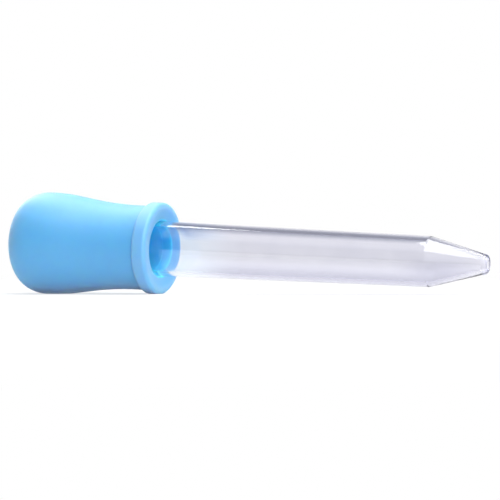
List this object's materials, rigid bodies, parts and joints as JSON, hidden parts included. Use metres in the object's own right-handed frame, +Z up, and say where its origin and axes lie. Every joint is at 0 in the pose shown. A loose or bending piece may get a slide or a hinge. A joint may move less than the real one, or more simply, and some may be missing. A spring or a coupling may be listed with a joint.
{
  "type": "dropper pipette",
  "caption": "Liquid dropper with a soft silicone squeeze bulb, a rounded collar and a clear tapered tube that ends in a cone with a small open tip.",
  "frame": {"origin": "centre of the bounding box at the surface that the dropper lies on", "axes": "+Z up, +X towards the tip; the dropper's own axis lies in the XZ plane and dips 2.9 degrees towards the tip, because it rests on small flat spots under its belly and its collar"},
  "size_m": [0.1148, 0.024, 0.0239],
  "materials": {
    "bulb_silicone": "soft matt silicone, light sky blue, coloured all through",
    "clear_plastic": "clear moulded plastic with a faint lavender cast, glossy"
  },
  "bodies": {
    "root": {"bulb": "bulb_silicone", "tube": "clear_plastic"}
  },
  "joints": []
}
